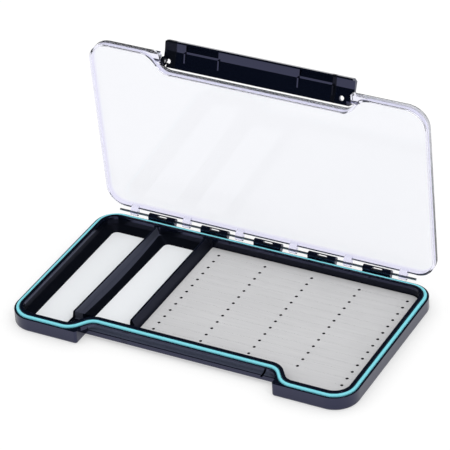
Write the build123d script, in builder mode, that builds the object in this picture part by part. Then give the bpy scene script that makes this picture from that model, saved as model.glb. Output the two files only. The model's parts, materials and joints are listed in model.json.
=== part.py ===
from build123d import *
from math import cos, hypot, radians, sin
import os

# Slim fly box.  Origin at the centre of the tray's underside, X along the hinge,
# +Y towards the hinge, +Z up, millimetres.

# ---- tray ----------------------------------------------------------------
tray_length = 193.4          # outside, along the hinge
tray_depth = 106.0           # outside, front to back
tray_rim_top = 7.7           # height of the outer rim
tray_floor = 1.4             # thickness under the compartments
bottom_round = 1.2           # rounding round the underside
front_corner_r = 11.0        # corner radii are those of the seal's centre line
back_corner_r = 10.0
notch_depth = 10.3           # how far the front is set back at the latch
notch_half = 52.2            # half width of the notch at its back
notch_side_run = 7.6         # how far each notch side slants outwards
lobe_bend_r = 9.0            # bend from a front lobe into the notch
notch_bend_r = 7.0           # bend from the notch side into its back
lobe_step = 2.8              # upright inner side of each front lobe beyond the notch's back
lobe_edge_r = 1.4
web_bottom = 5.2             # underside of the rim where it bridges the notch corner
ledge_top = 4.6              # ledge that the latch hooks under
ledge_bottom = 2.2
ledge_out = 2.75             # how far the ledge stands out of the notch wall
slot_inset = 5.5             # slanted slot at the right end of the notch wall
slot_lean = 0.9
slot_width = 1.2
slot_depth = 0.8
slot_foot = 3.6

# ---- rim and seal --------------------------------------------------------
seal_inset = 2.0             # seal centre line from the outside face
seal_width = 1.6
seal_proud = 0.95            # how far the seal stands above the outer rim
seal_side_gap = 0.1          # seal to groove side
groove_depth = 1.3
lip_width = 1.9              # inner lip beside the groove
lip_top = 8.95
seal_round = 0.55
rim_round = 0.35             # rounding on the rim's and inner lip's edges
scoop_round = 0.8            # where the bins' upright sides turn into slopes

# ---- compartments --------------------------------------------------------
divider_top = 8.3
divider_thickness = 1.0
divider_1_x = -63.7          # middle of the left divider
divider_1_skew = 1.8         # its shift in x from front to back
divider_2_x = -33.7          # middle of the right divider
divider_2_foot = 3.2         # run of its sloped right face
scoop_top = 4.5              # below this the small compartments slope inwards
wall_draft = 0.6             # lean of the upright sides above that, over their height
divider_2_end = 4.5          # gap between the right divider's end and the front lip
scoop_left = 5.3             # slope run on the left side
scoop_left_2 = 6.8
scoop_right = 2.4
scoop_back = 5.0
scoop_front = 4.0
panel_corner_r = 3.0
tape_thickness = 0.2
panel_thickness = 0.6
panel_gap = 0.2
pad_thickness = 2.15
pad_gap = 0.25

# ---- slit pad ------------------------------------------------------------
column_count = 5
column_left_gap = 7.06       # first column from the divider's foot
column_right_gap = 6.64      # last column from the inner lip
row_pitch = 6.0
row_back_gap = 6.31          # last row from the back wall
row_front_gap = 7.0          # least room in front of the first row
hole_r = 0.8                 # holes go right through the pad
slit_width = 0.05            # slits are all but closed
slit_depth = 1.5
slit_overrun = 4.2           # slit past its end holes
extra_row_columns = 1        # columns that reach into the right front lobe

# ---- hinge ---------------------------------------------------------------
hinge_out = 1.69             # rod axis behind the tray's back face
hinge_height = 8.97
rod_r = 0.6
rod_end_gap = 10.1           # rod's ends inside the tray's ends
rod_shift = -2.0
rod_fit = 0.05
knuckle_end_gap = 18.2       # outermost knuckles inside the tray's ends
lug_count = 5
lug_width = 15.8
lug_r = 1.8
lug_window_length = 6.2      # window through each lug, over the rod
lug_window_width = 1.7
lug_window_rise = 0.35
lug_window_slope = 33.0
lug_foot = 3.6
knuckle_count = 6
knuckle_width = 4.2
knuckle_r = 1.6
knuckle_shift = -1.2         # knuckles from the middles of the gaps between the lugs

# ---- lid -----------------------------------------------------------------
lid_open = 85.9              # degrees from closed, as modelled
lid_seat_gap = 0.05          # lid rim above the seal when closed
lid_overhang = 0.7           # lid outside face beyond the seal centre line
lid_wall = 1.3
lid_height = 5.05
lid_face = 1.5
lid_edge_round = 1.2
lid_inner_round = 0.9
lid_rim_round = 0.3
ear_r = 1.9
ear_gap = 0.5                # each ear from the latch's end
ear_length = 12.0

# ---- latch ---------------------------------------------------------------
latch_open = 118.0           # degrees that the latch is swung up, as modelled
pivot_out = 6.2              # latch pivot in front of the notch's seal centre line
pivot_height = 11.8
latch_end_gap = 1.5          # each end of the latch from its lobe
latch_outer = 3.5            # outer face from the pivot
plate_thickness = 1.7
latch_top = 3.2
latch_end_top = 0.3          # top of the plate beside the bosses
latch_bottom = 11.1
hook_lip_top = 5.6
hook_lip_reach = 2.6         # thickness of the lip beside the hook's tip
hook_tip_height = 0.9
hook_tip_reach = 4.0         # thickness at the hook's tip
hook_bevel = 0.6             # bevel on the tip's lower inner edge
grip_corner = 1.4            # corners cut off at the grip edge
latch_boss_r = 2.3
boss_inset = 0.2             # boss end inside the latch's end
boss_length = 1.7
core_hole_inset = 4.6
core_hole_shift = -1.8
core_hole_r = 1.3
plate_end_inset = 1.9
window_start = 22.8
window_end = 41.3
window_floor = 1.2           # plate left behind each window
window_bar = 1.1             # strip of the lip kept above each window
rib_thickness = 0.8
rib_top = 0.6
latch_round = 0.5
grip_pitch = 1.5
grip_width = 0.6
grip_depth = 0.35
grip_inset = 8.5             # plain ends beside the grip ribs
pin_r = 0.8
pin_fit = 0.05
pin_press = 0.02
pin_inset = 1.8              # pin's inner end from the latch's end
pin_seat = 4.0               # how deep each pin sits in its ear

# ---- derived -------------------------------------------------------------
window_out = (0, -cos(radians(lug_window_slope)), sin(radians(lug_window_slope)))
half_length = tray_length / 2
mouth_half = notch_half + notch_side_run
lobe_side = notch_half + lobe_step
slot_x = notch_half - slot_inset
latch_half = lobe_side - latch_end_gap
ear_face = latch_half + ear_gap
boss_end = latch_half - boss_inset
boss_start = boss_end - boss_length
core_hole_x = latch_half - core_hole_inset
plate_end = latch_half - plate_end_inset
grip_half = latch_half - grip_inset
pin_start = latch_half - pin_inset
pin_end = ear_face + pin_seat
half_depth = tray_depth / 2
seal_front = half_depth - seal_inset
seal_side = half_length - seal_inset
notch_y = notch_depth - seal_front
notch_wall_y = notch_y - seal_inset
groove_half = seal_width / 2 + seal_side_gap
inner_inset = groove_half + lip_width
inner_back = seal_front - inner_inset
inner_left = inner_inset - seal_side
inner_notch = notch_y + inner_inset
seal_top = tray_rim_top + seal_proud
hinge_y = half_depth + hinge_out
lid_seat = seal_top + lid_seat_gap
lid_back = seal_front + lid_overhang - hinge_y    # lid's rear face from the rod
pivot_y = notch_y - pivot_out
plate_inner = latch_outer - plate_thickness
lip_inner = latch_outer - hook_lip_reach
tip_inner = latch_outer - hook_tip_reach
pad_left = divider_2_x + divider_thickness / 2 + divider_2_foot
first_column = pad_left + column_left_gap
last_column = -inner_left - column_right_gap
column_pitch = (last_column - first_column) / (column_count - 1)
columns_x = [first_column + column_pitch * i for i in range(column_count)]
last_row = inner_back - row_back_gap
row_count = int((last_row - inner_notch - row_front_gap) / row_pitch) + 1
rows_y = [last_row - row_pitch * (row_count - 1 - i) for i in range(row_count)]
knuckle_pitch = (half_length - knuckle_end_gap) / (knuckle_count - 1)
rod_length = 2 * (half_length - rod_end_gap)
lugs_x = [2 * knuckle_pitch * (i - (lug_count - 1) / 2) for i in range(lug_count)]
knuckles_x = [2 * knuckle_pitch * (i - (knuckle_count - 1) / 2) + knuckle_shift
              for i in range(knuckle_count)]

# The lid's own plane: its origin on the rod, its normal the closed lid's up.
lid_plane = Plane((0, hinge_y, hinge_height), (1, 0, 0),
                  (0, sin(radians(lid_open)), cos(radians(lid_open))))
lid_up = Axis(lid_plane.origin, lid_plane.z_dir)
# Sections across the lid, seen along X, from the rod.
lid_section = Plane(lid_plane.origin, lid_plane.y_dir, (1, 0, 0))
# The latch's plane and section, from its pivot.
latch_turn = radians(lid_open + latch_open)
latch_origin = lid_plane.from_local_coords((0, pivot_y - hinge_y, pivot_height - hinge_height))
latch_plane = Plane(latch_origin, (1, 0, 0), (0, sin(latch_turn), cos(latch_turn)))
latch_section = Plane(latch_origin, latch_plane.y_dir, (1, 0, 0))
latch_back = Plane(latch_origin, (1, 0, 0), latch_plane.y_dir)
ear_section = Plane(latch_origin, lid_plane.y_dir, (1, 0, 0))


def rim_face(grow, shift=0.0):
    """Face inside the seal's centre line, grown outwards, moved back by shift."""
    side = seal_side + grow
    front = -seal_front - grow
    wall = notch_y - grow
    run = hypot(mouth_half - notch_half, notch_depth)
    along_x = (mouth_half - notch_half) / run
    along_y = -notch_depth / run
    base_x = notch_half + along_y * grow
    base_y = notch_y - along_x * grow
    inner_x = base_x + (wall - base_y) / along_y * along_x
    outer_x = base_x + (front - base_y) / along_y * along_x
    back = seal_front + grow
    points = [(-side, front), (-outer_x, front), (-inner_x, wall), (inner_x, wall),
              (outer_x, front), (side, front), (side, back), (-side, back)]
    radii = [front_corner_r + grow, lobe_bend_r + grow, notch_bend_r - grow,
             notch_bend_r - grow, lobe_bend_r + grow, front_corner_r + grow,
             back_corner_r + grow, back_corner_r + grow]
    with BuildSketch(mode=Mode.PRIVATE) as face:
        with BuildLine():
            FilletPolyline(*[(x, y - shift) for x, y in points], radius=radii, close=True)
        make_face()
    return face.sketch


def drafted(points):
    """A compartment's four corners, moved in by the draft of its upright sides."""
    return [(points[0][0] + wall_draft, points[0][1] + wall_draft),
            (points[1][0] - wall_draft, points[1][1] + wall_draft),
            (points[2][0] - wall_draft, points[2][1] - wall_draft),
            (points[3][0] + wall_draft, points[3][1] - wall_draft)]


def divider_x(y, side):
    """X of the left divider's face at depth y; side is -1 for left, 1 for right."""
    return divider_1_x + divider_1_skew * y / (2 * inner_back) + side * divider_thickness / 2


def rounded_face(points, radii):
    """Face inside a closed run of straight sides with rounded corners."""
    with BuildSketch(mode=Mode.PRIVATE) as face:
        with BuildLine():
            FilletPolyline(*points, radius=radii, close=True)
        make_face()
    return face.sketch


# ---- compartment outlines -------------------------------------------------
left_top = [(inner_left, -inner_back), (divider_x(-inner_back, -1), -inner_back),
            (divider_x(inner_back, -1), inner_back), (inner_left, inner_back)]
left_foot = [(left_top[0][0] + scoop_left, left_top[0][1] + scoop_front),
             (left_top[1][0] - scoop_right, left_top[1][1] + scoop_front),
             (left_top[2][0] - scoop_right, left_top[2][1] - scoop_back),
             (left_top[3][0] + scoop_left, left_top[3][1] - scoop_back)]
left_radii = [front_corner_r - inner_inset, 2.0, 2.0, back_corner_r - inner_inset]
middle_right = divider_2_x - divider_thickness / 2
middle_top = [(divider_x(inner_notch, 1), inner_notch), (middle_right, inner_notch),
              (middle_right, inner_back), (divider_x(inner_back, 1), inner_back)]
middle_foot = [(middle_top[0][0] + scoop_left_2, middle_top[0][1] + scoop_front),
               (middle_top[1][0] - scoop_right, middle_top[1][1] + scoop_front),
               (middle_top[2][0] - scoop_right, middle_top[2][1] - scoop_back),
               (middle_top[3][0] + scoop_left_2, middle_top[3][1] - scoop_back)]
middle_radii = [2.0, 2.0, 2.0, 2.0]
foot_radii = [panel_corner_r] * 4

# ---- tray ------------------------------------------------------------------
with BuildPart() as base_tray:
    with BuildSketch() as footprint:
        with BuildLine():
            FilletPolyline(
                (-half_length, -half_depth), (-lobe_side, -half_depth),
                (-lobe_side, notch_wall_y), (lobe_side, notch_wall_y),
                (lobe_side, -half_depth), (half_length, -half_depth),
                (half_length, half_depth), (-half_length, half_depth),
                radius=[front_corner_r + seal_inset, lobe_edge_r, lobe_edge_r, lobe_edge_r,
                        lobe_edge_r, front_corner_r + seal_inset,
                        back_corner_r + seal_inset, back_corner_r + seal_inset],
                close=True)
        make_face()
    extrude(amount=tray_rim_top)
    fillet(base_tray.edges().group_by(Axis.Z)[0], radius=bottom_round)
    # ledge along the notch, with a free underside for the latch's hook
    with BuildSketch(Plane.XY.offset(ledge_bottom)):
        with BuildLine():
            Polyline((-lobe_side - 1, notch_wall_y - ledge_out), (lobe_side + 1, notch_wall_y - ledge_out),
                     (lobe_side + 1, notch_wall_y + 1), (-lobe_side - 1, notch_wall_y + 1), close=True)
        make_face()
    extrude(amount=ledge_top - ledge_bottom)
    # the rim follows the seal round the notch corners
    with BuildSketch(Plane.XY.offset(web_bottom)):
        add(rim_face(seal_inset))
    extrude(amount=tray_rim_top - web_bottom)
    # inner lip, then the groove for the seal
    with BuildSketch(Plane.XY.offset(tray_rim_top)):
        add(rim_face(-groove_half))
    extrude(amount=lip_top - tray_rim_top)
    with BuildSketch(Plane.XY.offset(tray_rim_top - groove_depth)):
        add(rim_face(groove_half))
        add(rim_face(-groove_half), mode=Mode.SUBTRACT)
    extrude(amount=groove_depth + 1, mode=Mode.SUBTRACT)
    # the dividers stop a little below the lip
    with BuildSketch(Plane.XY.offset(divider_top)):
        add(rim_face(-inner_inset))
    extrude(amount=lip_top - divider_top + 1, mode=Mode.SUBTRACT)
    fillet(base_tray.edges().group_by(Axis.Z)[-1], radius=rim_round)
    fillet(base_tray.edges().filter_by_position(Axis.Z, tray_rim_top - 0.01, tray_rim_top + 0.01),
           radius=rim_round)
    # two small compartments: upright at the top, sloped below
    for top, foot, radii in ((left_top, left_foot, left_radii), (middle_top, middle_foot, middle_radii)):
        with BuildSketch(Plane.XY.offset(divider_top)):
            add(rounded_face(top, radii))
        with BuildSketch(Plane.XY.offset(scoop_top)):
            add(rounded_face(drafted(top), radii))
        loft(ruled=True, mode=Mode.SUBTRACT)
        with BuildSketch(Plane.XY.offset(scoop_top)):
            add(rounded_face(drafted(top), radii))
        with BuildSketch(Plane.XY.offset(tray_floor)):
            add(rounded_face(foot, foot_radii))
        loft(ruled=True, mode=Mode.SUBTRACT)
    fillet(base_tray.edges().filter_by_position(Axis.Z, scoop_top - 0.01, scoop_top + 0.01),
           radius=scoop_round)
    # bay for the slit pad, with the divider's sloped face
    with BuildSketch(Plane.XY.offset(tray_floor)):
        add(rim_face(-inner_inset))
        with Locations((pad_left, 0)):
            Rectangle(tray_length, tray_depth, align=(Align.MIN, Align.CENTER), mode=Mode.INTERSECT)
    extrude(amount=divider_top - tray_floor + 1, mode=Mode.SUBTRACT)
    with BuildSketch(Plane.XZ.offset(-inner_back)):
        with BuildLine():
            Polyline((pad_left - divider_2_foot, divider_top + 1), (pad_left + 0.5, divider_top + 1),
                     (pad_left + 0.5, tray_floor), (pad_left, tray_floor),
                     (pad_left - divider_2_foot, divider_top), close=True)
        make_face()
    extrude(amount=inner_back - inner_notch, mode=Mode.SUBTRACT)
    # both dividers stop short of the front wall, and a low sill runs on
    with BuildSketch(Plane.XY.offset(scoop_top)):
        add(rim_face(-inner_inset))
        with BuildSketch(mode=Mode.INTERSECT):
            with BuildLine():
                Polyline((divider_x(-inner_back, -1) - 1, -half_depth),
                         (divider_x(inner_notch, -1) - 1, inner_notch),
                         (middle_right - 1, inner_notch), (middle_right - 1, inner_notch + divider_2_end),
                         (pad_left, inner_notch + divider_2_end), (pad_left, -half_depth), close=True)
            make_face()
    extrude(amount=divider_top - scoop_top, mode=Mode.SUBTRACT)
    # slanted slot at the right end of the notch wall
    with BuildSketch(Plane.XZ.offset(-notch_wall_y - slot_depth)):
        with BuildLine():
            Polyline((slot_x - slot_lean - slot_width / 2, slot_foot),
                     (slot_x - slot_lean + slot_width / 2, slot_foot),
                     (slot_x + slot_lean + slot_width / 2, tray_rim_top + 1),
                     (slot_x + slot_lean - slot_width / 2, tray_rim_top + 1), close=True)
        make_face()
    extrude(amount=slot_depth + ledge_out + 1, mode=Mode.SUBTRACT)
    # hinge lugs
    for x in lugs_x:
        with BuildSketch(Plane.YZ.offset(x - lug_width / 2)):
            with BuildLine():
                Polyline((half_depth - 0.6, lug_foot), (half_depth, lug_foot),
                         (hinge_y + lug_r * 0.94, hinge_height - lug_r * 0.35),
                         (hinge_y, hinge_height), (hinge_y - lug_r * 0.9, hinge_height - lug_r * 0.4),
                         (half_depth - 0.6, tray_rim_top - 0.2), close=True)
            make_face()
            with Locations((hinge_y, hinge_height)):
                Circle(lug_r)
        extrude(amount=lug_width)
        with BuildSketch(Plane((x, hinge_y, hinge_height), (1, 0, 0), window_out)):
            with Locations((0, lug_window_rise)):
                SlotOverall(lug_window_length, lug_window_width)
        extrude(amount=lug_r + 1, both=True, mode=Mode.SUBTRACT)
    with BuildSketch(Plane.YZ.offset(-half_length)):
        with Locations((hinge_y, hinge_height)):
            Circle(rod_r + rod_fit)
    extrude(amount=tray_length, mode=Mode.SUBTRACT)
base_tray.part.label = "base_tray"

# ---- seal -------------------------------------------------------------------
with BuildPart() as rim_seal:
    with BuildSketch(Plane.XY.offset(tray_rim_top - groove_depth)):
        add(rim_face(seal_width / 2))
        add(rim_face(-seal_width / 2), mode=Mode.SUBTRACT)
    extrude(amount=groove_depth + seal_proud)
    fillet(rim_seal.edges().group_by(Axis.Z)[-1], radius=seal_round)
rim_seal.part.label = "rim_seal"

# ---- liners, pad and their tapes ---------------------------------------------
tape_top = tray_floor + tape_thickness


def liner(foot, low, thickness, inset):
    """Flat sheet inside a compartment's foot."""
    corners = [(foot[0][0] + inset, foot[0][1] + inset), (foot[1][0] - inset, foot[1][1] + inset),
               (foot[2][0] - inset, foot[2][1] - inset), (foot[3][0] + inset, foot[3][1] - inset)]
    with BuildPart(mode=Mode.PRIVATE) as sheet:
        with BuildSketch(Plane.XY.offset(low)):
            add(rounded_face(corners, [panel_corner_r - inset] * 4))
        extrude(amount=thickness)
    return sheet.part


with BuildPart() as panel_tape_left:
    add(liner(left_foot, tray_floor, tape_thickness, 2 * panel_gap))
panel_tape_left.part.label = "panel_tape_left"

with BuildPart() as panel_tape_middle:
    add(liner(middle_foot, tray_floor, tape_thickness, 2 * panel_gap))
panel_tape_middle.part.label = "panel_tape_middle"

with BuildPart() as white_panel_left:
    add(liner(left_foot, tape_top, panel_thickness, panel_gap))
white_panel_left.part.label = "white_panel_left"

with BuildPart() as white_panel_middle:
    add(liner(middle_foot, tape_top, panel_thickness, panel_gap))
white_panel_middle.part.label = "white_panel_middle"

with BuildPart() as pad_tape:
    with BuildSketch(Plane.XY.offset(tray_floor)):
        add(rim_face(-inner_inset - 2 * pad_gap))
        with Locations((pad_left + 2 * pad_gap, 0)):
            Rectangle(tray_length, tray_depth, align=(Align.MIN, Align.CENTER), mode=Mode.INTERSECT)
    extrude(amount=tape_thickness)
pad_tape.part.label = "pad_tape"

with BuildPart() as slit_pad:
    with BuildSketch(Plane.XY.offset(tape_top)):
        add(rim_face(-inner_inset - pad_gap))
        with Locations((pad_left + pad_gap, 0)):
            Rectangle(tray_length, tray_depth, align=(Align.MIN, Align.CENTER), mode=Mode.INTERSECT)
    extrude(amount=pad_thickness)
    # rows of slits, each crossed by a row of small holes
    slit_length = columns_x[-1] - columns_x[0] + 2 * slit_overrun
    extra_y = rows_y[0] - row_pitch
    with BuildSketch(Plane.XY.offset(tape_top + pad_thickness)):
        for y in rows_y:
            with Locations(((columns_x[0] + columns_x[-1]) / 2, y)):
                Rectangle(slit_length, slit_width)
        for x in columns_x[column_count - extra_row_columns:]:
            with Locations((x, extra_y)):
                Rectangle(2 * slit_overrun, slit_width)
    extrude(amount=-slit_depth, mode=Mode.SUBTRACT)
    with BuildSketch(Plane.XY.offset(tape_top + pad_thickness)):
        with Locations(*[(x, y) for x in columns_x for y in rows_y]):
            Circle(hole_r)
        with Locations(*[(x, extra_y) for x in columns_x[column_count - extra_row_columns:]]):
            Circle(hole_r)
    extrude(amount=-pad_thickness, mode=Mode.SUBTRACT)
slit_pad.part.label = "slit_pad"

# ---- hinge rod ----------------------------------------------------------------
with BuildPart() as hinge_rod:
    with BuildSketch(Plane.YZ.offset(rod_shift - rod_length / 2)):
        with Locations((hinge_y, hinge_height)):
            Circle(rod_r)
    extrude(amount=rod_length)
hinge_rod.part.label = "hinge_rod"

# ---- lid ------------------------------------------------------------------------
with BuildPart() as lid_shell:
    with BuildSketch(lid_plane.offset(lid_seat - hinge_height)):
        add(rim_face(lid_overhang, hinge_y))
    extrude(amount=lid_height)
    # ears in the notch corners, flush with the lid's front and face
    ear_front = pivot_y + seal_front + lid_overhang
    ear_face_up = lid_seat + lid_height - pivot_height
    for side in (-1, 1):
        with BuildSketch(ear_section.offset(side * ear_face)):
            with BuildLine():
                Polyline((-ear_front, -ear_r), (0, -ear_r), (ear_r, 0), (ear_r, ear_face_up),
                         (-ear_front, ear_face_up), close=True)
            make_face()
            Circle(ear_r)
        extrude(amount=side * ear_length)
    fillet(lid_shell.edges().group_by(lid_up)[-1], radius=lid_edge_round)
    with BuildSketch(lid_plane.offset(lid_seat - hinge_height)):
        add(rim_face(lid_overhang - lid_wall, hinge_y))
    extrude(amount=lid_height - lid_face, mode=Mode.SUBTRACT)
    inside_height = lid_seat + lid_height - lid_face - hinge_height
    fillet(lid_shell.edges().filter_by_position(lid_up, inside_height - 0.01, inside_height + 0.01),
           radius=lid_inner_round)
    fillet(lid_shell.edges().group_by(lid_up)[0], radius=lid_rim_round)
    # blind holes in the ears for the latch pins
    for side in (-1, 1):
        with BuildSketch(ear_section.offset(side * (ear_face - 1))):
            Circle(pin_r + pin_press)
        extrude(amount=side * (1 + pin_seat), mode=Mode.SUBTRACT)
    # hinge knuckles
    for x in knuckles_x:
        with BuildSketch(lid_section.offset(x - knuckle_width / 2)):
            with BuildLine():
                Polyline((lid_back - 0.8, lid_seat - hinge_height + 0.05),
                         (lid_back, lid_seat - hinge_height + 0.05),
                         (-knuckle_r * 0.8, -knuckle_r * 0.6), (0, -knuckle_r * 0.5),
                         (0, knuckle_r), (lid_back - 0.8, knuckle_r + 1.0), close=True)
            make_face()
            Circle(knuckle_r)
            Circle(rod_r + rod_fit, mode=Mode.SUBTRACT)
        extrude(amount=knuckle_width)
lid_shell.part.label = "lid_shell"

# ---- latch pins --------------------------------------------------------------------
with BuildPart() as latch_pin_left:
    with BuildSketch(ear_section.offset(-pin_start)):
        Circle(pin_r)
    extrude(amount=-(pin_end - pin_start))
latch_pin_left.part.label = "latch_pin_left"

with BuildPart() as latch_pin_right:
    with BuildSketch(ear_section.offset(pin_start)):
        Circle(pin_r)
    extrude(amount=pin_end - pin_start)
latch_pin_right.part.label = "latch_pin_right"

# ---- latch -------------------------------------------------------------------------
# In a section the first coordinate is inwards from the pivot and the second is up.
with BuildPart() as latch_bar:
    with BuildSketch(latch_section.offset(-latch_half)):
        with BuildLine():
            Polyline((-latch_outer, latch_top), (-plate_inner, latch_top),
                     (-plate_inner, -hook_lip_top),
                     (-lip_inner, -latch_bottom + hook_tip_height),
                     (-tip_inner, -latch_bottom + hook_tip_height),
                     (-tip_inner, -latch_bottom + hook_bevel), (-tip_inner - hook_bevel, -latch_bottom),
                     (-latch_outer, -latch_bottom), close=True)
        make_face()
    extrude(amount=2 * latch_half)
    outer_edges = latch_bar.edges().filter_by(Axis.X).sort_by(Axis(latch_origin, latch_plane.y_dir))
    fillet(outer_edges[0:2], radius=latch_round)
    # the plate is cut back beside the bosses so that it clears the lid
    for side in (-1, 1):
        with BuildSketch(latch_section.offset(side * plate_end)):
            with Locations((-latch_outer, (latch_top + latch_end_top) / 2 + 0.5)):
                Rectangle(4 * latch_outer, latch_top - latch_end_top + 1)
        extrude(amount=side * (latch_half - plate_end + 1), mode=Mode.SUBTRACT)
    # windows in the lip, leaving its tip
    window_low = -latch_bottom + hook_tip_height
    window_high = -hook_lip_top - window_bar
    for side in (-1, 1):
        with BuildSketch(latch_section.offset(side * window_start)):
            with BuildLine():
                Polyline((window_floor - latch_outer, window_low), (1, window_low),
                         (1, window_high), (window_floor - latch_outer, window_high), close=True)
            make_face()
        extrude(amount=side * (window_end - window_start), mode=Mode.SUBTRACT)
        for x in (window_start - rib_thickness, window_end):
            with BuildSketch(latch_section.offset(side * x)):
                with BuildLine():
                    Polyline((-plate_inner - 0.5, -hook_lip_top - 0.5), (-lip_inner, -hook_lip_top - 0.5),
                             (-lip_inner, -hook_lip_top), (-plate_inner, -rib_top),
                             (-plate_inner - 0.5, -rib_top), close=True)
                make_face()
            extrude(amount=side * rib_thickness)
    # cored holes beside the bosses, and the corners of the grip edge
    with BuildSketch(latch_back.offset(-latch_outer - 1)):
        with Locations((core_hole_shift - core_hole_x, 0), (core_hole_shift + core_hole_x, 0)):
            Circle(core_hole_r)
        for side in (-1, 1):
            with BuildLine():
                Polyline((side * (latch_half - grip_corner), latch_bottom),
                         (side * latch_half, latch_bottom - grip_corner),
                         (side * (latch_half + 1), latch_bottom - grip_corner),
                         (side * (latch_half + 1), latch_bottom + 1),
                         (side * (latch_half - grip_corner), latch_bottom + 1), close=True)
            make_face()
    extrude(amount=latch_outer + 3, mode=Mode.SUBTRACT)
    # bosses
    for side in (-1, 1):
        with BuildSketch(latch_section.offset(side * boss_start)):
            Circle(latch_boss_r)
            with BuildLine():
                Polyline((-latch_outer + latch_round, latch_end_top), (0, latch_end_top),
                         (0, -latch_boss_r), (-latch_outer + latch_round, -latch_boss_r), close=True)
            make_face()
        extrude(amount=side * (boss_end - boss_start))
        with BuildSketch(latch_section.offset(side * (boss_start - 1))):
            Circle(pin_r + pin_fit)
        extrude(amount=side * (boss_end - boss_start + 2), mode=Mode.SUBTRACT)
    # grip ribs along the bottom outer edge
    grip_count = int(2 * grip_half / grip_pitch) + 1
    with BuildSketch(latch_plane.offset(-latch_bottom)):
        with Locations((0, -latch_outer)):
            with GridLocations(grip_pitch, 0, grip_count, 1):
                Rectangle(grip_width, 2 * grip_depth)
    extrude(amount=2.2, mode=Mode.SUBTRACT)
latch_bar.part.label = "latch_bar"

os.makedirs("parts", exist_ok=True)
for name in (base_tray, rim_seal, panel_tape_left, panel_tape_middle, white_panel_left, white_panel_middle,
             pad_tape, slit_pad, hinge_rod, lid_shell, latch_pin_left, latch_pin_right, latch_bar):
    export_step(name.part, "parts/" + name.part.label + ".step")
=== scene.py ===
"""Slim fly box, open, on a white studio floor.

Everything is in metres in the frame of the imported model: X along the hinge, +Y towards
the hinge, +Z up, the origin at the middle of the tray's underside.  Only the seal and the
pad are worked out in millimetres, and turned into metres as their meshes are made.
"""

import json
import math

import bpy
import numpy as np
from mathutils import Matrix, Vector
from mathutils.geometry import delaunay_2d_cdt


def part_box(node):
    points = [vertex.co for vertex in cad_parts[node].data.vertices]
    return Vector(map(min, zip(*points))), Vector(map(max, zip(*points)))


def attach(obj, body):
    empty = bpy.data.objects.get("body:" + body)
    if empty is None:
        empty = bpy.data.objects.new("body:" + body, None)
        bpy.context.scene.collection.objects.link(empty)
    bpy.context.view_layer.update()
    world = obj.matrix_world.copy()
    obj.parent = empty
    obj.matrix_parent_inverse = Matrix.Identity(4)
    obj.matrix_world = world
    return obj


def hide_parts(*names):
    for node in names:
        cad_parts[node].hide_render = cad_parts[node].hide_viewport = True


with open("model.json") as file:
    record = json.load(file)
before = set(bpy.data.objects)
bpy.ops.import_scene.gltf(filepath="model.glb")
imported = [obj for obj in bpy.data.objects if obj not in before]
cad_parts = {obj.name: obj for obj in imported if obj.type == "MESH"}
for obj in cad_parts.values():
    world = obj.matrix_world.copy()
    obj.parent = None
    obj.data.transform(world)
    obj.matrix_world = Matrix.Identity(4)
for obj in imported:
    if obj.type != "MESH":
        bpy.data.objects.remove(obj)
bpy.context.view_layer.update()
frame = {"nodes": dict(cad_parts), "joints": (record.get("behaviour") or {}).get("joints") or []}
MM = 0.001


def box_in_mm(node):
    """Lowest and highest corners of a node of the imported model, to a micrometre."""
    return [[round(value / MM, 3) for value in corner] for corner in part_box(node)]


# ---- lid and latch, as modelled --------------------------------------------
joints = {joint["name"]: joint for joint in frame["joints"]}
LID_AXIS = joints["lid_hinge"]["pos_m"][1:]         # y and z of the rod's middle line
LATCH_AXIS = joints["latch_hinge"]["pos_m"][1:]     # y and z of the latch pins' middle line
LID_OPEN = -joints["lid_hinge"]["range_deg"][0]     # degrees from closed
LATCH_OPEN = 118.0                                  # degrees that the latch is swung up

# ---- seal, in millimetres --------------------------------------------------
(_, _, SEAL_LOW), (seal_right, seal_back, SEAL_TOP) = box_in_mm("rim_seal")
SEAL_HALF, SEAL_CROWN = 0.8, 0.6                    # half the bead's width, its crown's height
SEAL_SIDE, SEAL_FRONT = seal_right - SEAL_HALF, seal_back - SEAL_HALF    # its middle line
SEAL_SHOULDER = SEAL_TOP - SEAL_CROWN
SEAL_WAVES = [(0.02, 17.0, 0.0), (0.012, 5.3, 1.0)]     # height, run and start of each
SEAL_SETTLE = 0.03                                  # how far the crown sits low on average
SEAL_STATIONS, CROWN_STEPS = 900, 15                # places along the run, points of the crown
NOTCH_HALF = 52.2                                   # half the notch's width at its back
NOTCH_RUN, NOTCH_DEPTH = 7.6, 10.3                  # x and y of each slanted side
NOTCH_Y = NOTCH_DEPTH - SEAL_FRONT
FRONT_R, BACK_R, LOBE_R, NOTCH_R = 11.0, 10.0, 9.0, 7.0     # bends of the middle line

# ---- slit pad, in millimetres ----------------------------------------------
(PAD_LEFT, _, PAD_LOW), (pad_right, PAD_BACK, PAD_TOP) = box_in_mm("slit_pad")
PAD_INSET = SEAL_SIDE - pad_right                   # pad's outline inside the seal's line
PAD_CORNER_R, PAD_EDGE = 1.0, 0.35                  # left corners, rounding of the outline
PAD_EDGE_STEPS = (0.0, 0.08, 0.3, 0.65, 1.0)        # shares of the rounding's width
COLUMN_COUNT, COLUMN_PITCH, COLUMN_LEFT_GAP = 5, 27.05, 6.81    # holes, from the left edge
ROW_COUNT, ROW_PITCH, ROW_BACK_GAP = 13, 6.0, 6.06
COLUMNS = [PAD_LEFT + COLUMN_LEFT_GAP + COLUMN_PITCH * i for i in range(COLUMN_COUNT)]
ROWS = [PAD_BACK - ROW_BACK_GAP - ROW_PITCH * i for i in reversed(range(ROW_COUNT))]
HOLE_R, HOLE_STEPS = 0.8, 11                        # points on each hole's half round
SLIT_HALF, SLIT_OVERRUN = 0.013, 4.2                # half its width, and past its end holes
SLIT_EDGE, SLIT_EDGE_DROP = 0.06, 0.02              # rounding of slits and holes
SLIT_EDGE_STEPS = (0.0, 0.15, 0.5, 1.0)

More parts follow.
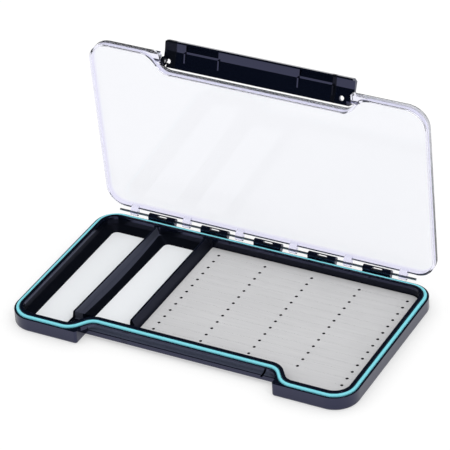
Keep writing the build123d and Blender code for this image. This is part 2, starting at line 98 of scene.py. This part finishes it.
ARC_STEPS = 12                                      # stretches in each rounded corner
CREASE = 0.6                                        # radians past which an edge is sharp
JOIN = 1e-7                                         # points nearer than this are one


# ---- writing a finish ------------------------------------------------------
class Value:
    """One output of a finish's nodes, with the arithmetic that finishes are written in."""

    def __init__(self, finish, socket):
        self.finish, self.socket = finish, socket

    def maths(self, operation, *values):
        return self.finish.node("ShaderNodeMath", {"operation": operation}, dict(enumerate(values)))

    def __add__(self, other):
        return self.maths("ADD", self, other)

    def __sub__(self, other):
        return self.maths("SUBTRACT", self, other)

    def __rsub__(self, other):
        return self.maths("SUBTRACT", other, self)

    def __mul__(self, other):
        return self.maths("MULTIPLY", self, other)

    def __abs__(self):
        return self.maths("ABSOLUTE", self)

    __radd__, __rmul__ = __add__, __mul__

    def most(self, other):
        """The larger of the two."""
        return self.maths("MAXIMUM", self, other)

    def over(self, low, high):
        """Rises smoothly from 0 at low to 1 at high; falls where low is above high."""
        sign = 1.0 if high > low else -1.0
        edges = {"From Min": min(low, high), "From Max": max(low, high), "Value": self,
                 "To Min": 0.5 - 0.5 * sign, "To Max": 0.5 + 0.5 * sign}
        return self.finish.node("ShaderNodeMapRange", {"interpolation_type": "SMOOTHSTEP"}, edges)


class Finish:
    """A new material or world being written; node() is the one way that nodes are added."""

    def __init__(self, owner):
        owner.use_nodes = True
        self.owner, self.tree = owner, owner.node_tree
        self.tree.nodes.clear()

    def node(self, kind, settings=None, inputs=None, output=0):
        """A node with its settings, then the values or links of its sockets."""
        made = self.tree.nodes.new(kind)
        for key, value in (settings or {}).items():
            setattr(made, key, value)
        for key, value in (inputs or {}).items():
            if isinstance(value, Value):
                self.tree.links.new(value.socket, made.inputs[key])
            else:
                made.inputs[key].default_value = value
        return Value(self, made.outputs[output]) if made.outputs else None

    def place(self, kind="Object"):
        return self.node("ShaderNodeTexCoord", output=kind)

    def axes(self, kind="Object"):
        """The place's three numbers."""
        split = self.node("ShaderNodeSeparateXYZ", None, {0: self.place(kind)})
        return [Value(self, out) for out in split.socket.node.outputs]

    def across(self, axis, degrees):
        """Distance from a hinge's axis, along a line turned by degrees from +Z towards +Y."""
        _, y, z = self.axes()
        turn = math.radians(degrees)
        return (y - axis[0]) * math.sin(turn) + (z - axis[1]) * math.cos(turn)

    def rays(self):
        """Light Path's outputs by name."""
        path = self.node("ShaderNodeLightPath")
        return {out.name: Value(self, out) for out in path.socket.node.outputs}

    def noise(self, scale, detail=2.0, rough=0.5, stretch=(1.0, 1.0, 1.0)):
        """Noise from 0 to 1 with a grain of 1/scale metres, longer where stretch is below 1."""
        place = self.node("ShaderNodeMapping", None, {0: self.place(), "Scale": stretch})
        return self.node("ShaderNodeTexNoise", None,
                         {"Vector": place, "Scale": scale, "Detail": detail, "Roughness": rough})

    def mix(self, factor, first, second):
        """Colour first where factor is 0 and second where it is 1."""
        return self.node("ShaderNodeMix", {"data_type": "RGBA"},
                         {0: factor, 6: first, 7: second}, output=2)

    def bump(self, height, distance):
        return self.node("ShaderNodeBump", None,
                         {"Height": height, "Distance": distance, "Strength": 1.0})

    def shader(self, **inputs):
        named = {key.replace("_", " "): value for key, value in inputs.items()}
        return self.node("ShaderNodeBsdfPrincipled", None, named)

    def done(self, shader, kind="ShaderNodeOutputMaterial"):
        self.node(kind, None, {"Surface": shader})
        return self.owner

    def plastic(self, **inputs):
        """The whole material as one shader."""
        return self.done(self.shader(**inputs))


def new_finish(name):
    return Finish(bpy.data.materials.new(name))


def tone(red, green, blue):
    return (red, green, blue, 1.0)


# ---- marks on the black mouldings ------------------------------------------
# A mark is 1 on its face and 0 elsewhere.  Each of its edges is a pair of places in
# metres: where the mark is 0 and where it is 1.
def right_divider_slope(f):
    """Sloped right face of the right divider."""
    x, _, z = f.axes()
    left, right, top = (-0.0334, -0.0331), (-0.0295, -0.0299), (0.0086, 0.0081)
    return x.over(*left) * x.over(*right) * z.over(*top)


def left_divider_painted_reflection(f):
    """Patch of painted reflection on the right face of the left divider, down to a line that dips
    in the middle of its length.

    The divider leans in x as it runs back, which is taken off before its faces are found,
    and the line rises with the square of y.
    """
    x, y, z = f.axes()
    front, back = (-0.0390, -0.0385), (0.0472, 0.0468)
    left, right = (-0.0633, -0.0631), (-0.0585, -0.0588)
    lean = 0.0018 / 0.0964
    dip, rise, rise_run, fade = 0.0034, 0.0007, 0.045, 0.0001    # rise is reached at rise_run
    upright = x - y * lean
    foot = dip + y * y * (rise / rise_run ** 2)
    face = y.over(*front) * y.over(*back) * upright.over(*left) * upright.over(*right)
    return face * (z - foot).over(-fade, fade)


def inner_walls(f):
    """Walls of the two bins but for the notch, and the wall behind the pad, below the rim."""
    x, y, z = f.axes()
    bins_left, bins_right, ends = (-0.0940, -0.0930), (-0.0330, -0.0334), (0.0500, 0.0490)
    notch_left, notch_back = (-0.0580, -0.0560), (-0.0396, -0.0406)
    pad_right, pad_back, rim = (0.0960, 0.0940), (0.0455, 0.0465), (0.0076, 0.0068)
    strength = 0.8
    bins = x.over(*bins_left) * x.over(*bins_right) * abs(y).over(*ends)
    notch = x.over(*notch_left) * y.over(*notch_back)
    behind_pad = x.over(*pad_right) * y.over(*pad_back) * y.over(*ends)
    return (bins * (1.0 - notch)).most(behind_pad) * z.over(*rim) * strength


def notch_ledge_painted_light(f):
    """Patch of painted light: the top of the latch's ledge, up to a plain strip at its front edge,
    and the foot of the wall behind it."""
    x, y, z = f.axes()
    back, front, ends = (-0.0424, -0.0427), (-0.0448, -0.0446), (0.0552, 0.0550)
    low, high = (0.0043, 0.0045), (0.0069, 0.0064)
    return y.over(*back) * y.over(*front) * abs(x).over(*ends) * z.over(*low) * z.over(*high)


def latch_lip_ends(f):
    """Inner face of the latch's lip at its left end and beside the right window."""
    x = f.axes()[0]
    left_end = (-0.0463, -0.0469)
    window_side, window_far = (0.0408, 0.0413), (0.0436, 0.0432)
    lip, strength = (-0.0029, -0.0027), 0.85
    ends = x.over(*left_end) + x.over(*window_side) * x.over(*window_far)
    return ends * f.across(LATCH_AXIS, LID_OPEN + LATCH_OPEN + 90.0).over(*lip) * strength


# ---- finishes --------------------------------------------------------------
def gloss_black(name, dull, textures_and_painted_light=()):
    """Black moulded plastic: a faint flow pattern in the gloss and fine handling marks.

    dull marks unpolished walls.  Each entry of textures has its mark, its dark and pale colours,
    and then what it adds to the roughness, what it adds to the grain's relief, and how dull it is.
    Some entries are textures, and some are patches of painted light and painted reflection.
    """
    f = new_finish(name)
    flow = f.noise(35.0, 3.0)
    grain = f.noise(2600.0)
    colour = f.mix(flow, tone(0.0012, 0.0022, 0.0060), tone(0.0022, 0.0034, 0.0080))
    rough, relief, dulled = 0.09 + flow * 0.07, 0.5, dull(f)
    for mark, dark, pale, more_rough, more_relief, dullness in textures_and_painted_light:
        here = mark(f)
        # the colours of the textures and of the patches of painted light and painted reflection are
        # laid in here
        colour = f.mix(here, colour, f.mix(grain, dark, pale))
        rough = rough + here * more_rough
        relief = relief + here * more_relief
        dulled = dulled * (1.0 - here) + here * dullness
    skin = f.bump(grain * relief, 0.000006)
    gloss = f.shader(Base_Color=colour, Roughness=rough, IOR=1.75,
                     Specular_Tint=tone(0.56, 0.58, 1.0), Normal=skin)
    matt = f.shader(Base_Color=colour, Roughness=0.55, IOR=1.2, Normal=skin)
    return f.done(f.node("ShaderNodeMixShader", None, {0: dulled, 1: gloss, 2: matt}))


def tray_black():
    """The tray's black, satin on the right divider's slope, with painted reflection, a pale patch,
    on the left divider's face, and painted light, a pale blue patch, on the latch's ledge."""
    satin = (right_divider_slope, tone(0.002, 0.003, 0.006), tone(0.012, 0.013, 0.020),
             0.22, 5.0, 0.3)
    # painted reflection: a pale patch on the left divider's black face, for the backdrop that its
    # gloss reflects
    painted_facet_reflection = (left_divider_painted_reflection, tone(0.045, 0.050, 0.070), tone(0.060, 0.066, 0.088),
            0.30, 2.0, 0.0)
    # painted light: a pale blue patch on the black ledge and the foot of the wall, so they show as
    # lit
    painted_ledge_light = (notch_ledge_painted_light, tone(0.052, 0.062, 0.090), tone(0.070, 0.080, 0.112),
                 0.30, 2.0, 0.0)
    return gloss_black("tray_gloss", inner_walls, [satin, painted_facet_reflection, painted_ledge_light])


def aqua_silicone():
    """Soft blue-green rubber, slightly clouded, with fine dust in its sheen."""
    f = new_finish("aqua_silicone")
    cloud = f.noise(90.0)
    dust = f.noise(3000.0)
    colour = f.mix(cloud, tone(0.21, 0.72, 0.83), tone(0.25, 0.78, 0.88))
    return f.plastic(Base_Color=colour, Roughness=0.34 + dust * 0.12, IOR=1.42,
                     Normal=f.bump(dust, 0.000008))


def white_sheet():
    """White plastic sheet, a little cool, with an eggshell surface."""
    f = new_finish("white_sheet")
    cloud = f.noise(40.0, 3.0)
    eggshell = f.noise(1800.0)
    colour = f.mix(cloud, tone(0.925, 0.950, 0.980), tone(0.950, 0.972, 0.995))
    return f.plastic(Base_Color=colour, Roughness=0.42 + eggshell * 0.1, IOR=1.46,
                     Normal=f.bump(eggshell, 0.000008))


def grey_pad():
    """Grey silicone pad with streaks along X from the sheet it was cut from."""
    f = new_finish("grey_pad")
    streak = f.noise(900.0, 3.0, 0.6, (0.06, 1.0, 1.0))
    cloud = f.noise(30.0)
    colour = f.mix(streak * 0.7 + cloud * 0.3, tone(0.53, 0.53, 0.543), tone(0.69, 0.69, 0.70))
    return f.plastic(Base_Color=colour, Roughness=0.75, IOR=1.4,
                     Normal=f.bump(streak, 0.00003))


def painted_shade_cut_face():
    """Walls of the pad's holes and slits in painted shade: coloured near black, as little light
    falls there.
    """
    f = new_finish("painted_shade_cut_face")
    # painted shade: near black in place of the pad's own colour
    colour = f.mix(f.noise(1500.0), tone(0.02, 0.02, 0.025), tone(0.05, 0.05, 0.055))
    return f.plastic(Base_Color=colour, Roughness=0.9)


def clear_plastic():
    """Clear moulded plastic: it bends light a little, so its walls and roundings draw fine
    lines, and a thin haze gives its faces a cool cast.  Its walls carry a darker lilac tint,
    painted shade for how they darken when seen through.  Light that falls through it onto the
    tray and the floor passes as through an open frame."""
    f = new_finish("clear_plastic")
    wave = f.noise(22.0)
    top_of_walls = (0.0033, 0.0028)    # up from the rod, as the lid lies when closed
    walls = f.across(LID_AXIS, LID_OPEN).over(*top_of_walls)
    colour = f.mix(wave, tone(0.898, 0.905, 0.940), tone(0.912, 0.919, 0.952))
    # painted shade: a darker lilac tint on the walls than on the faces
    colour = f.mix(walls, colour, tone(0.80, 0.79, 0.95))
    rays = f.rays()
    falling = rays["Is Shadow Ray"].most(rays["Is Diffuse Ray"])
    return f.plastic(Base_Color=colour, Roughness=0.045 + wave * 0.03, IOR=1.24,
                     Transmission_Weight=0.985, Alpha=1.0 - falling * 0.92)


def drawn_steel():
    """Steel wire with fine lines along X from its drawing."""
    f = new_finish("drawn_steel")
    drawn = f.noise(700.0, stretch=(0.05, 1.0, 1.0))
    return f.plastic(Base_Color=tone(0.50, 0.51, 0.54), Metallic=1.0,
                     Roughness=0.18 + drawn * 0.2, Normal=f.bump(drawn, 0.000010))


def black_tape():
    """Matt black tape under the panels and the pad."""
    f = new_finish("black_tape")
    fibre = f.noise(1200.0)
    colour = f.mix(fibre, tone(0.02, 0.02, 0.024), tone(0.04, 0.04, 0.046))
    return f.plastic(Base_Color=colour, Roughness=0.7, Normal=f.bump(fibre, 0.00002))


def dress(material, *nodes):
    """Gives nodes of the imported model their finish."""
    for node in nodes:
        for slot in frame["nodes"][node].material_slots:
            slot.material = material


# ---- shapes of the seal and the pad ----------------------------------------
def rounded_run(corners, radii):
    """Points and outward directions round a closed run, walked anticlockwise.

    Each corner P becomes an arc of radius r: it starts r*tan(turn/2) before P, its centre
    lies r to the inner side of the run there, and the arc is walked in equal angles.
    """
    p = np.array(corners, float)
    r = np.array(radii, float)[:, None]
    ahead = np.roll(p, -1, 0) - p
    ahead /= np.linalg.norm(ahead, axis=1)[:, None]
    behind = np.roll(ahead, 1, 0)
    left = np.stack([-behind[:, 1], behind[:, 0]], 1)
    turn = np.arctan2(np.sum(left * ahead, 1), np.sum(behind * ahead, 1))[:, None]
    side = np.sign(turn)
    centre = p - behind * r * np.tan(np.abs(turn) / 2) + left * side * r
    first = np.arctan2(-left[:, 1], -left[:, 0])[:, None]
    angle = first + np.linspace(0.0, 1.0, ARC_STEPS + 1)[None, :] * turn
    out = np.stack([np.cos(angle), np.sin(angle)], 2)
    points = centre[:, None] + out * (side * r)[:, None]
    return points.reshape(-1, 2), out.reshape(-1, 2)


def band_faces(rings, width, closed):
    """Quads between neighbouring rings of width points each; closed joins last to first."""
    i = np.arange(rings if closed else rings - 1)[:, None]
    j = np.arange(width)[None, :]
    k, m = (i + 1) % rings, (j + 1) % width
    quads = np.stack([i * width + j, i * width + m, k * width + m, k * width + j], 2)
    return quads.reshape(-1, 4)


def piece(name, vertices, faces, finishes, body, stands_for):
    """A new mesh with its place in its vertices, riding on a body.  faces lists groups of
    quads or triangles, each with the number of its finish."""
    mesh = bpy.data.meshes.new(name)
    mesh.from_pydata(vertices.tolist(), [], [face for group, _ in faces for face in group.tolist()])
    mesh.update()
    mesh.polygons.foreach_set("use_smooth", np.ones(len(mesh.polygons), bool))
    mesh.set_sharp_from_angle(angle=CREASE)
    for finish in finishes:
        mesh.materials.append(finish)
    mesh.polygons.foreach_set("material_index", np.concatenate(
        [np.full(len(group), which, np.int32) for group, which in faces]))
    made = bpy.data.objects.new(name, mesh)
    bpy.context.scene.collection.objects.link(made)
    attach(made, body)
    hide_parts(stands_for)
    return made


def rim_run(grow):
    """Places that the seal's line turns at, grown outwards: x of the notch's inner and outer
    corners, y of its back wall and of the front, x of the side and y of the back.

    The notch's slanted side is moved square to itself by grow, and its corners are where it
    then meets the moved wall and front.
    """
    run = math.hypot(NOTCH_RUN, NOTCH_DEPTH)
    along_x, along_y = NOTCH_RUN / run, -NOTCH_DEPTH / run
    base_x, base_y = NOTCH_HALF + along_y * grow, NOTCH_Y - along_x * grow
    wall, front, side = NOTCH_Y - grow, -SEAL_FRONT - grow, SEAL_SIDE + grow
    inner = base_x + (wall - base_y) / along_y * along_x
    outer = base_x + (front - base_y) / along_y * along_x
    return inner, outer, wall, front, side, -front


def evenly(values, along, even):
    """Values round a closed run, read off at even distances along it."""
    values = np.vstack([values, values[:1]])
    return np.stack([np.interp(even, along, column) for column in values.T], 1)


def seal_band():
    """Silicone seal: a bead profile carried round the rim.

    The bead has upright flanks in its groove and an elliptical crown; its crown height
    wavers by a few hundredths of a millimetre along the run, as an inserted seal does.
    """
    inner, outer, wall, front, side, back = rim_run(0.0)
    corners = [(-side, front), (-outer, front), (-inner, wall), (inner, wall),
               (outer, front), (side, front), (side, back), (-side, back)]
    radii = [FRONT_R, LOBE_R, NOTCH_R, NOTCH_R, LOBE_R, FRONT_R, BACK_R, BACK_R]
    line, out = rounded_run(corners, radii)
    gaps = np.linalg.norm(np.roll(line, -1, 0) - line, axis=1)
    along = np.concatenate([[0.0], np.cumsum(gaps)])
    even = np.linspace(0.0, along[-1], SEAL_STATIONS, endpoint=False)
    line, out = evenly(line, along, even), evenly(out, along, even)
    out /= np.linalg.norm(out, axis=1)[:, None]
    crown = np.linspace(0.0, math.pi, CROWN_STEPS)[1:-1]
    wide = np.concatenate([[SEAL_HALF] * 2, SEAL_HALF * np.cos(crown), [-SEAL_HALF] * 2])
    high = np.concatenate([[SEAL_LOW, SEAL_SHOULDER], SEAL_SHOULDER + SEAL_CROWN * np.sin(crown),
                           [SEAL_SHOULDER, SEAL_LOW]])
    waver = sum(height * np.sin(even / run + start) for height, run, start in SEAL_WAVES)
    waver = waver - SEAL_SETTLE
    lift = np.clip((high - SEAL_SHOULDER) / SEAL_CROWN, 0, 1)
    xy = line[:, None] + out[:, None] * wide[None, :, None]
    z = high[None, :] + waver[:, None] * lift[None, :]
    vertices = np.concatenate([xy, z[..., None]], 2).reshape(-1, 3) * MM
    faces = band_faces(SEAL_STATIONS, len(wide), True)[:, ::-1]
    return piece("seal_band", vertices, [(faces, 0)], [aqua_silicone()], "tray",
                 "rim_seal")


def slit_row(columns, y, grow):
    """Outline of one slit with its holes: its two long sides, bulging round each hole.

    A side lies half a slit's width plus grow from the row; round a hole it follows the
    circle of the hole's radius plus grow.  The ends are drawn to a point.
    """
    half, radius = SLIT_HALF + grow, HOLE_R + grow
    meet = math.asin(half / radius)
    sweep = np.linspace(math.pi - meet, meet, HOLE_STEPS)
    x = (np.array(columns)[:, None] + radius * np.cos(sweep)[None, :]).ravel()
    rise = np.tile(radius * np.sin(sweep), len(columns))
    left, right = columns[0] - SLIT_OVERRUN - grow, columns[-1] + SLIT_OVERRUN + grow
    near_left, near_right = left + grow * 0.5, right - grow * 0.5
    far_side = np.stack([x[::-1], rise[::-1]], 1)
    near_side = np.stack([x, -rise], 1)
    points = np.vstack([(right, 0.0), (near_right, half), far_side, (near_left, half),
                        (left, 0.0), (near_left, -half), near_side, (near_right, -half)])
    return points + (0.0, y)


def quarter_round(drop, part):
    """How far a rounded edge has fallen at a share of its width, none at its inner side."""
    return drop * (1 - math.sqrt(1 - (1 - part) ** 2))


def within(points, loop):
    """Even-odd test of points against a closed loop."""
    x, y = points[:, None, 0], points[:, None, 1]
    a, b = loop[None], np.roll(loop, -1, 0)[None]
    crosses = (a[..., 1] > y) != (b[..., 1] > y)
    with np.errstate(divide="ignore", invalid="ignore"):
        at = a[..., 0] + (y - a[..., 1]) * (b[..., 0] - a[..., 0]) / (b[..., 1] - a[..., 1])
    return np.sum(crosses & (x < at), 1) % 2 == 1


def flat_faces(vertices, starts, widths):
    """Triangles of the flat face between an outline, which comes first, and loops inside it.

    Each loop is a run of vertices with a start and a width.  A Delaunay triangulation keeps
    all their edges, and the triangles whose middles lie in the outline and in no other loop
    are the face.
    """
    index = np.concatenate([np.arange(start, start + width)
                            for start, width in zip(starts, widths)])
    firsts = np.cumsum([0] + widths[:-1])
    flat = vertices[index, :2]
    edges = np.vstack([np.stack([np.arange(width), (np.arange(width) + 1) % width], 1) + first
                       for first, width in zip(firsts, widths)])
    spots, _, triangles, origins = delaunay_2d_cdt(
        [Vector(point) for point in flat.tolist()], edges.tolist(), [], 0, JOIN)[:4]
    triangles = np.array(triangles)
    middles = np.array(spots)[triangles].mean(1)
    outline, *holes = np.split(flat, firsts[1:])
    keep = within(middles, outline)
    for hole in holes:
        keep &= ~within(middles, hole)
    back_to = index[np.array([origin[0] for origin in origins])]
    return back_to[triangles[keep]]


def slit_sheet():
    """Soft pad: rounded rims round its outline, its slits and its holes, joined by a flat top.

    A rim falls by a quarter ellipse over its width, from the flat top to an upright wall.
    """
    # the walls of slits and holes take the painted-shade finish
    skin, cut = 0, 1
    inner, outer, wall, front, side, back = rim_run(-PAD_INSET)
    corners = [(PAD_LEFT, wall), (inner, wall), (outer, front), (side, front), (side, back),
               (PAD_LEFT, back)]
    radii = [PAD_CORNER_R, NOTCH_R + PAD_INSET, LOBE_R - PAD_INSET, FRONT_R - PAD_INSET,
             BACK_R - PAD_INSET, PAD_CORNER_R]
    line, out = rounded_run(corners, radii)
    loops = [[(line, PAD_LOW)]]
    for part in PAD_EDGE_STEPS:
        loops[0].append((line - out * PAD_EDGE * part, PAD_TOP - quarter_round(PAD_EDGE, part)))
    for columns, y in [(COLUMNS, y) for y in ROWS] + [(COLUMNS[-1:], ROWS[0] - ROW_PITCH)]:
        rings = [(slit_row(columns, y, 0.0), PAD_LOW)]
        for part in SLIT_EDGE_STEPS:
            high = PAD_TOP - quarter_round(SLIT_EDGE_DROP, part)
            rings.append((slit_row(columns, y, SLIT_EDGE * part), high))
        loops.append(rings)
    vertices, faces, starts, tops, widths = [], [], [], [], []
    start = 0
    for rings in loops:
        width = len(rings[0][0])
        vertices += [np.column_stack([points, np.full(width, z)]) for points, z in rings]
        quads = band_faces(len(rings), width, False) + start
        if rings is loops[0]:
            faces.append((quads, skin))
        else:
            faces += [(quads[:width, ::-1], cut), (quads[width:, ::-1], skin)]
        starts.append(start)
        start += len(rings) * width
        tops.append(start - width)
        widths.append(width)
    vertices = np.vstack(vertices)
    faces.append((flat_faces(vertices, tops, widths), skin))
    faces.append((flat_faces(vertices, starts, widths)[:, ::-1], skin))
    return piece("slit_sheet", vertices * MM, faces, [grey_pad(), painted_shade_cut_face()], "tray",
                 "slit_pad")


# ---- floor, light and camera -----------------------------------------------
def studio_floor():
    """A flat square under the box, matt as paper, that glows a little wherever it is seen, so
    that it is white where nothing shades it."""
    half = 3.0
    mesh = bpy.data.meshes.new("studio_floor")
    mesh.from_pydata([(-half, -half, 0), (half, -half, 0), (half, half, 0), (-half, half, 0)],
                     [], [(0, 1, 2, 3)])
    floor = bpy.data.objects.new("studio_floor", mesh)
    bpy.context.scene.collection.objects.link(floor)
    f = new_finish("floor_paper")
    rays = f.rays()
    seen = rays["Is Camera Ray"].most(rays["Is Glossy Ray"]).most(rays["Is Transmission Ray"])
    glow = f.mix(seen, tone(0, 0, 0), tone(0.45, 0.45, 0.45))
    mesh.materials.append(f.plastic(Base_Color=tone(0.58, 0.58, 0.58), Roughness=1.0,
                                    Specular_IOR_Level=0.0, Emission_Color=glow,
                                    Emission_Strength=1.0))


def studio_world():
    """White to the camera.  In gloss, which takes in what is seen through the clear lid, the
    dim room of a light table: white low down, dark between, and a pale ceiling."""
    world = bpy.data.worlds.new("studio_world")
    bpy.context.scene.world = world
    f = Finish(world)
    height = f.axes("Generated")[2]
    white_low, pale_ceiling = height.over(0.10, -0.02), height.over(0.93, 0.99)
    room = f.mix(0.018 + 0.97 * white_low + 0.35 * pale_ceiling,
                 tone(0.0, 0.008, 0.022), tone(1, 1, 1))
    shade = f.mix(f.rays()["Is Glossy Ray"], tone(1, 1, 1), room)
    f.done(f.node("ShaderNodeBackground", None, {"Color": shade, "Strength": 1.0}),
           "ShaderNodeOutputWorld")


def studio_softbox():
    """A small square lamp, high up at the right, that faces the middle of the tray."""
    place = Vector((0.82, -0.34, 1.21))
    light = bpy.data.lights.new("small_softbox", "AREA")
    light.shape, light.size, light.energy = "SQUARE", 0.12, 1.2
    lamp = bpy.data.objects.new("small_softbox", light)
    lamp.location = place
    lamp.rotation_euler = (-place).to_track_quat("-Z", "Y").to_euler()
    bpy.context.scene.collection.objects.link(lamp)


def studio_camera():
    """The lens and place from which the box is seen from its front right.

    The camera is rolled about its own line of sight, then tipped up from looking straight
    down, then turned round the vertical.
    """
    data = bpy.data.cameras.new("camera")
    data.sensor_width, data.lens = 36.0, 230.4
    data.clip_start, data.clip_end = 0.05, 50.0
    place = Vector((0.594444, -1.052312, 0.840209))
    turn, tip, roll = (math.radians(degrees) for degrees in (29.2381, 56.9455, -3.6211))
    camera = bpy.data.objects.new("camera", data)
    camera.matrix_world = (Matrix.Translation(place) @ Matrix.Rotation(turn, 4, "Z")
                           @ Matrix.Rotation(tip, 4, "X") @ Matrix.Rotation(roll, 4, "Z"))
    bpy.context.scene.collection.objects.link(camera)
    bpy.context.scene.camera = camera


# ---- the scene -------------------------------------------------------------
dress(tray_black(), "base_tray")
dress(gloss_black("latch_gloss", latch_lip_ends), "latch_bar")
dress(white_sheet(), "white_panel_left", "white_panel_middle")
dress(clear_plastic(), "lid_shell")
dress(drawn_steel(), "hinge_rod", "latch_pin_left", "latch_pin_right")
dress(black_tape(), "pad_tape", "panel_tape_left", "panel_tape_middle")
seal_band()
slit_sheet()
studio_floor()
studio_world()
studio_camera()
studio_softbox()
bpy.context.scene.view_settings.view_transform = "Standard"
